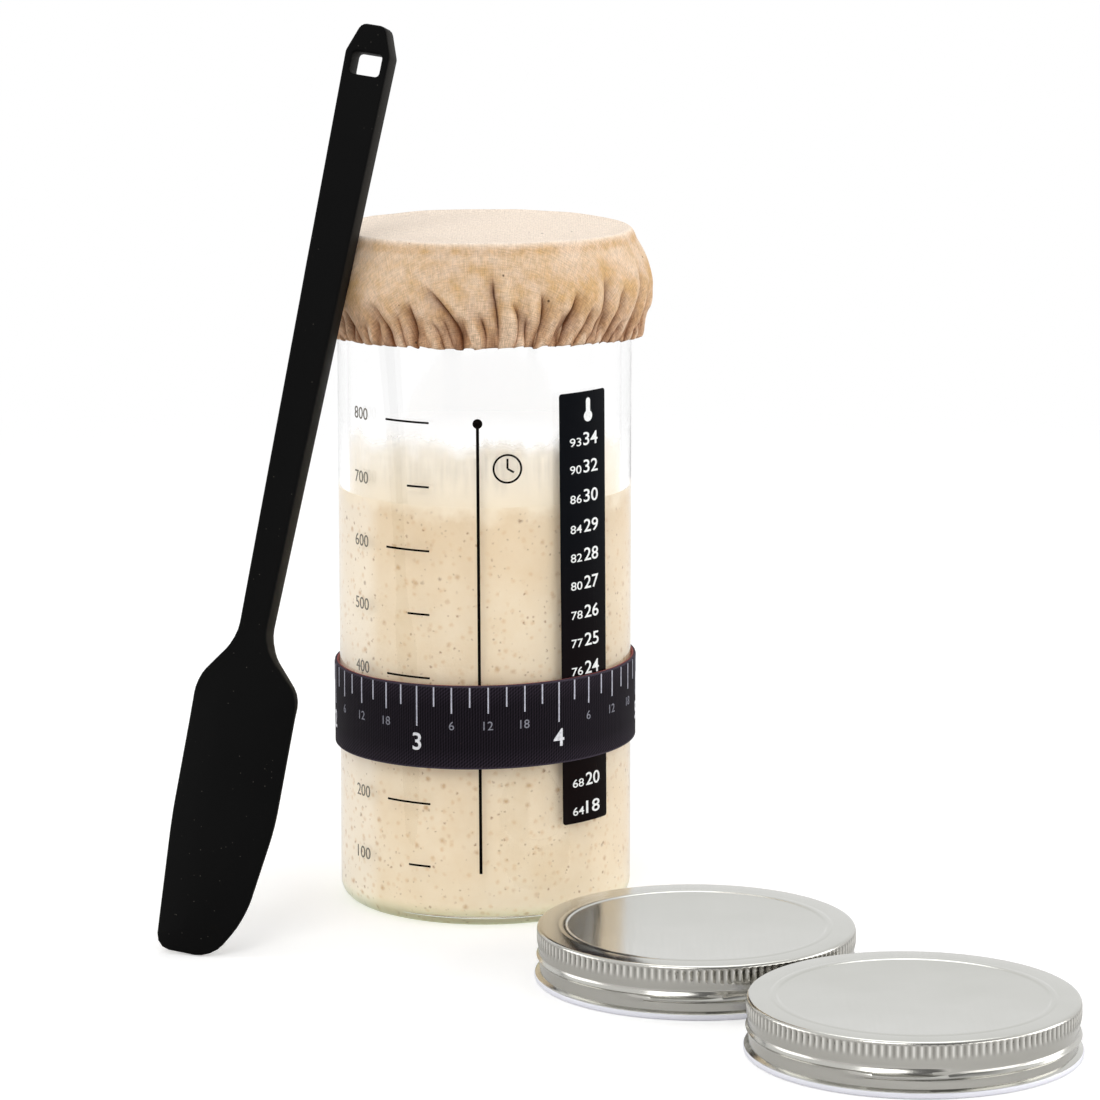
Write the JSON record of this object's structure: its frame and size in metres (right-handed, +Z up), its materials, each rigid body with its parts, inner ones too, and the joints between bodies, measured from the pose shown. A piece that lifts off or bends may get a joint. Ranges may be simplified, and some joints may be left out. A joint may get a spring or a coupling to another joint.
{
  "type": "sourdough starter jar",
  "caption": "Straight-sided glass starter jar with volume marks, thermometer strip, feeding band, gathered cloth cover, screw lids and a leaning spatula.",
  "frame": {"origin": "centre of the jar's base, on the surface the set stands on", "axes": "+Z up the jar, -Y towards the viewer (the front with the feeding line), +X to the viewer's right"},
  "size_m": [0.2603, 0.2661, 0.2665],
  "materials": {
    "jar_glass": "gloss",
    "dough": "satin",
    "black_ink": "matte",
    "strip_film": "gloss",
    "linen": "matte",
    "elastic": "matte",
    "black_webbing": "matte",
    "red_webbing": "matte",
    "white_ink": "matte",
    "tinplate": "satin",
    "sealing_compound": "matte",
    "silicone": "matte",
    "core_nylon": "matte"
  },
  "bodies": {
    "jar": {"glass_jar": "jar_glass", "starter": "dough", "volume_marks": "black_ink", "feeding_line": "black_ink", "thermometer_strip": "strip_film"},
    "cover": {"cover_cloth": "linen", "cover_elastic": "elastic"},
    "band": {"band_webbing": "black_webbing", "band_lining": "red_webbing", "band_seam": "black_webbing", "band_ticks": "white_ink"},
    "front_lid": {"front_lid_cap": "tinplate", "front_lid_gasket": "sealing_compound"},
    "side_lid": {"side_lid_cap": "tinplate", "side_lid_gasket": "sealing_compound"},
    "spatula": {"spatula_body": "silicone", "spatula_core": "core_nylon"}
  },
  "joints": [
    {"name": "cover_lift", "type": "slide", "parent": "jar", "child": "cover", "axis": [0, 0, 1], "range_m": [0, 0.08]},
    {"name": "band_slide", "type": "slide", "parent": "jar", "child": "band", "axis": [0, 0, 1], "range_m": [-0.038, 0.09]},
    {"name": "front_lid_lift", "type": "slide", "parent": "jar", "child": "front_lid", "axis": [0, 0, 1], "range_m": [0, 0.05]},
    {"name": "side_lid_lift", "type": "slide", "parent": "jar", "child": "side_lid", "axis": [0, 0, 1], "range_m": [0, 0.05]},
    {"name": "spatula_tilt", "type": "hinge", "parent": "jar", "child": "spatula", "pos_m": [-0.08353, -0.07239, 0], "axis": [0.7266, -0.6871, 0], "range_deg": [0, 8]}
  ],
  "couplings": [
    {"joint": "spatula_tilt", "follows": "cover_lift", "rad_per_m": 1.74}
  ]
}
